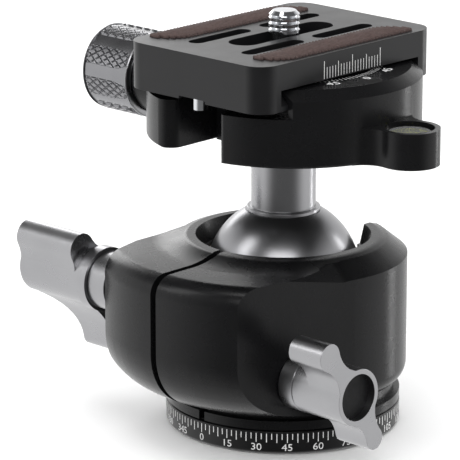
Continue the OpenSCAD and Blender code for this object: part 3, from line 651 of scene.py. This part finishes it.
carved = calc(tree, "MULTIPLY", calc(tree, "MULTIPLY", cut, mask), size["Depth"])
reach = calc(tree, "SUBTRACT", reach, carved)
rolled = vector(
    tree,
    calc(tree, "SUBTRACT", size["Inner"], calc(tree, "MULTIPLY", along, size["Length"])),
    calc(tree, "MULTIPLY", calc(tree, "SINE", angle), reach),
    calc(tree, "MULTIPLY_ADD", calc(tree, "COSINE", angle), reach, size["Axis"]),
)
placed = add_node(tree, "GeometryNodeSetPosition", Geometry=grid.outputs[0], Position=rolled)
welded = add_node(tree, "GeometryNodeMergeByDistance", Geometry=placed.outputs[0], Distance=1e-6)
finish_tree(tree, welded.outputs[0], knob_grey, end)
drum = grow("clamp_knob_drum", tree, knurl_sizes, "clamp_knob")


# %% [markdown]
# ## Turned ends
# What comes off a lathe is a profile spun round an axis. The knob's two ends
# are turned: a bright rim, a broken edge, and a shallow dished face. The same
# helper spins the profile about the knob's axis and closes it at the centre.

# %% Spin a profile about an axis along X
def turned_x(name, profile, axis_y, axis_z, material, body, steps=160):
    """profile is (x, radius) from one end to the other, in metres."""
    verts, faces = [], []
    for x, r in profile:
        for i in range(steps):
            a = 2 * math.pi * i / steps
            verts.append(Vector((x, axis_y + r * math.cos(a), axis_z + r * math.sin(a))))
    for k in range(len(profile) - 1):
        for i in range(steps):
            j = (i + 1) % steps
            faces.append((k * steps + i, k * steps + j, (k + 1) * steps + j, (k + 1) * steps + i))
    made = gather(name, [(verts, faces)], material, body)
    tidy_normals(made)
    return made


def tidy_normals(piece, sharp=35.0):
    """Doubles merged, faces turned outwards, and edges smooth up to an angle."""
    shape = bmesh.new()
    shape.from_mesh(piece.data)
    bmesh.ops.remove_doubles(shape, verts=shape.verts, dist=1e-7)
    bmesh.ops.recalc_face_normals(shape, faces=shape.faces)
    for face in shape.faces:
        face.smooth = True
    for edge in shape.edges:
        edge.smooth = edge.is_manifold and edge.calc_face_angle(0.0) < math.radians(sharp)
    shape.to_mesh(piece.data)
    shape.free()


# %% The knob's rims and faces
knob_y, knob_z = 0.0, knurl_sizes["Axis"]
drum_radius = knurl_sizes["Radius"]
inner_x, outer_x = knob_high.x, knob_low.x
# each pair: mm in from the end face, and mm under the drum's radius
inner_steps = [(0.50, 0.42), (0.40, 0.06), (0.25, 0.0), (0.08, 0.12), (0.0, 0.40), (0.0, 1.3), (0.35, 1.5)]
outer_steps = [(0.60, 0.42), (0.45, 0.10), (0.20, 0.16), (0.0, 0.50), (0.0, 2.6), (0.25, 2.9), (0.7, 3.1)]
inner_profile = [(inner_x - far_in * MM, drum_radius - under * MM) for far_in, under in inner_steps]
inner_profile += [(inner_x - 0.35 * MM, 2.6 * MM)]
outer_profile = [(outer_x + far_in * MM, drum_radius - under * MM) for far_in, under in outer_steps]
outer_profile += [(outer_x + 0.8 * MM, 0.5 * MM), (outer_x + 0.8 * MM, 0.0)]
knob_ends = (
    ("clamp_knob_inner_rim", inner_profile, titanium),
    ("clamp_knob_outer_face", outer_profile, knob_grey),
)
for name, profile, finish in knob_ends:
    turned_x(name, profile, knob_y, knob_z, finish, "clamp_knob")
tidy_normals(drum, 60.0)
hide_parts("clamp_knob")

# %% [markdown]
# ## The ribbed grips
# Each grip is a strip of rubber with round ribs across it, and its ends are cut
# in opposite curves. A line of points carries one rib each; the outline's rule
# gives how far each rib reaches to either side. The ribs go down to the floor
# of their recess, so together they stand for the whole strip.

# %% Ribs that fill the grip's outline
grip_low, grip_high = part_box("strip_left")
rib_radius = 0.36 * MM
rib_sizes = {"Count": 43, "Half": 0.5 * (grip_high.y - grip_low.y) - rib_radius, "Wide": 3.18 * MM,
             "Bow": 5.9 * MM, "Middle": 0.0, "Shift": 0.5 * (grip_high.y + grip_low.y),
             "Centre": 0.5 * (grip_high.z + grip_low.z), "Radius": rib_radius,
             "Tall": (grip_high.z - grip_low.z) / (2 * rib_radius)}


def rib_tree(name, material):
    tree, size, end = new_tree(name, rib_sizes)
    index = tree.nodes.new("GeometryNodeInputIndex").outputs[0]
    gaps = calc(tree, "SUBTRACT", size["Count"], 1.0)
    share = calc(tree, "DIVIDE", index, gaps)
    whole = calc(tree, "MULTIPLY", size["Half"], 2.0)
    y = calc(tree, "SUBTRACT", calc(tree, "MULTIPLY", share, whole), size["Half"])
    minus_y = calc(tree, "MULTIPLY", y, -1.0)
    straight = calc(tree, "SUBTRACT", size["Half"], size["Bow"])
    low_part = calc(tree, "MAXIMUM", calc(tree, "SUBTRACT", minus_y, straight), 0.0)
    high_part = calc(tree, "MAXIMUM", calc(tree, "SUBTRACT", y, straight), 0.0)
    chord = calc(tree, "MULTIPLY", size["Wide"], 2.0)
    square = calc(tree, "MULTIPLY", chord, chord)

    def side_reach(part):
        """How far a rib reaches where the end's arc has run this far."""
        left = calc(tree, "SUBTRACT", square, calc(tree, "MULTIPLY", part, part))
        return calc(tree, "SQRT", calc(tree, "MAXIMUM", left, 1e-7))

    x_high = calc(tree, "SUBTRACT", side_reach(low_part), size["Wide"])
    x_low = calc(tree, "SUBTRACT", size["Wide"], side_reach(high_part))
    width = calc(tree, "SUBTRACT", x_high, x_low)
    middle = calc(tree, "MULTIPLY", calc(tree, "ADD", x_high, x_low), 0.5)
    place = vector(
        tree,
        calc(tree, "ADD", middle, size["Middle"]),
        calc(tree, "ADD", y, size["Shift"]),
        size["Centre"],
    )
    points = add_node(tree, "GeometryNodePoints", Count=size["Count"], Position=place)
    rod = add_node(
        tree, "GeometryNodeMeshCylinder", Vertices=12, Side_Segments=3, Radius=size["Radius"], Depth=1.0
    )
    on_its_side = (0.0, math.pi / 2, 0.0)
    lying = add_node(
        tree, "GeometryNodeTransform", Geometry=rod.outputs[0], Rotation=on_its_side
    )
    ribs = add_node(
        tree,
        "GeometryNodeInstanceOnPoints",
        Points=points.outputs[0],
        Instance=lying.outputs[0],
        Scale=vector(tree, width, 1.0, size["Tall"]),
    )
    smooth = add_node(tree, "GeometryNodeSetShadeSmooth", Geometry=ribs.outputs[0])
    finish_tree(tree, smooth.outputs[0], material, end)
    return tree


ribs = rib_tree("grip_ribs", rubber)
for side in ("left", "right"):
    strip_low, strip_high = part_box("strip_" + side)
    rib_sizes["Middle"] = 0.5 * (strip_low.x + strip_high.x)
    grip = grow("grip_ribs_" + side, ribs, rib_sizes, "plate")
    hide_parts("strip_" + side)

# %% [markdown]
# ## The studio
# The photograph is a product shot on plain white. Black anodising has almost no
# colour of its own: all that shows is what it mirrors. So the room is made for
# its mirror image: bright to the left and right, dark in front and overhead,
# which leaves the faces towards the camera nearly black and draws soft bands on
# the metal. The camera and the diffuse light see a plain white room. A picture
# of a real studio could do this too, but these few steps are easier to steer.

# %% Show colours as they are, as in a catalogue picture
bpy.context.scene.view_settings.view_transform = "Standard"

# %% Floor
floor_mesh = bpy.data.meshes.new("floor")
half_floor, below = 3.0, -1e-4
corners = [(-1, -1), (1, -1), (1, 1), (-1, 1)]
floor_mesh.from_pydata([(x * half_floor, y * half_floor, below) for x, y in corners], [], [(0, 1, 2, 3)])
floor = bpy.data.objects.new("floor", floor_mesh)
bpy.context.scene.collection.objects.link(floor)
floor_finish, floor_tree, floor_shader = new_material("pale_floor")
floor_tint = two_tone(floor_tree, cloud(floor_tree, 3), (0.88, 0.88, 0.88), (0.91, 0.91, 0.91))
put(floor_tree, floor_tint, floor_shader.inputs["Base Color"])
floor_shader.inputs["Roughness"].default_value = 0.8
floor_mesh.materials.append(floor_finish)
floor.visible_glossy = False

# %% The camera's own directions, on the level
azimuth, elevation = math.radians(43.570), math.radians(15.965)
to_camera = Vector((math.sin(azimuth), -math.cos(azimuth), 0.0))
to_right = Vector((math.cos(azimuth), math.sin(azimuth), 0.0))

# %% World, bright at the sides and dark in front and overhead
world = bpy.data.worlds.new("studio")
bpy.context.scene.world = world
world.use_nodes = True
sky = world.node_tree
sky.nodes.clear()
direction = sky.nodes.new("ShaderNodeTexCoord").outputs["Generated"]


def share_of(way):
    """How far the ray points along a direction, from -1 to 1."""
    dot = sky.nodes.new("ShaderNodeVectorMath")
    dot.operation = "DOT_PRODUCT"
    put(sky, direction, dot.inputs[0])
    dot.inputs[1].default_value = way
    return dot.outputs["Value"]


def smooth_step(value, start, stop, low, high):
    """low up to start, high from stop, and a soft change between them."""
    made = sky.nodes.new("ShaderNodeMapRange")
    made.interpolation_type = "SMOOTHSTEP"
    put(sky, value, made.inputs["Value"])
    for socket, number in zip(made.inputs[1:5], (start, stop, low, high)):
        socket.default_value = number
    return made.outputs["Result"]


# %% What the metal mirrors, and what the floor and the camera see
from_left_to_right = smooth_step(share_of(to_right), -0.9, 0.9, 1.25, 1.1)
dark_in_front = smooth_step(share_of(to_camera), 0.15, 0.85, 1.0, 0.16)
dark_overhead = smooth_step(share_of(Vector((0.0, 0.0, 1.0))), 0.30, 0.75, 1.0, 0.10)
glow = calc(sky, "MULTIPLY", from_left_to_right, dark_in_front)
glow = calc(sky, "MULTIPLY", glow, dark_overhead)
mirrored = add_node(sky, "ShaderNodeBackground", Color=(1.0, 1.0, 1.0, 1.0), Strength=glow)
plain = add_node(sky, "ShaderNodeBackground", Color=(1.0, 1.0, 1.0, 1.0), Strength=1.0)
is_glossy = sky.nodes.new("ShaderNodeLightPath").outputs["Is Glossy Ray"]
mix = sky.nodes.new("ShaderNodeMixShader")
put(sky, is_glossy, mix.inputs[0])
put(sky, plain.outputs[0], mix.inputs[1])
put(sky, mirrored.outputs[0], mix.inputs[2])
out = sky.nodes.new("ShaderNodeOutputWorld")
sky.links.new(mix.outputs[0], out.inputs["Surface"])

# %% Camera, from the photograph's own perspective
camera_place = (0.448933, -0.487924, 0.230237)
camera_data = bpy.data.cameras.new("camera")
camera_data.sensor_width = 36.0
camera_data.lens = 261.03
camera_data.clip_end = 50.0
camera = bpy.data.objects.new("camera", camera_data)
bpy.context.scene.collection.objects.link(camera)
back = to_camera * math.cos(elevation) + Vector((0.0, 0.0, math.sin(elevation)))
up = back.cross(to_right)
turned = Matrix((to_right, up, back)).transposed().to_4x4()
camera.matrix_world = Matrix.Translation(camera_place) @ turned
bpy.context.scene.camera = camera


# %% Soft boxes, placed by bearing and height round the object
def soft_box(name, bearing, height, away, width, tall, glow, aim=(0.0, 0.0, 0.045), shine=True):
    """bearing is in degrees to the right of the camera, glow in the world's units."""
    turn, rise = math.radians(bearing), math.radians(height)
    flat = to_camera * math.cos(turn) + to_right * math.sin(turn)
    way = flat * math.cos(rise) + Vector((0.0, 0.0, math.sin(rise)))
    light = bpy.data.lights.new(name, "AREA")
    light.shape = "RECTANGLE"
    light.size = width
    light.size_y = tall
    light.energy = glow * math.pi * width * tall
    holder = bpy.data.objects.new(name, light)
    bpy.context.scene.collection.objects.link(holder)
    holder.location = Vector(aim) + way * away
    holder.rotation_euler = way.to_track_quat("Z", "Y").to_euler()
    holder.visible_camera = False
    holder.visible_glossy = shine
    return holder


# a wide box for the band on the ball, narrower ones for the shoulders and edges
soft_box("front_top_box", -4, 36, 0.80, 0.62, 0.30, 3.6)
soft_box("left_top_box", -78, 38, 0.80, 0.24, 0.36, 3.6)
soft_box("high_left_box", -52, 72, 0.80, 0.20, 0.20, 4.5)
soft_box("back_left_box", -160, 16, 0.60, 0.30, 0.22, 3.0, aim=(0.0, 0.0, 0.083))
soft_box("right_strip", 118, 2, 0.70, 0.05, 0.60, 9.0)
soft_box("floor_light", 0, 89, 1.00, 1.20, 1.20, 0.9, shine=False)
print("studio ready, camera at", tuple(round(c, 3) for c in camera.location))
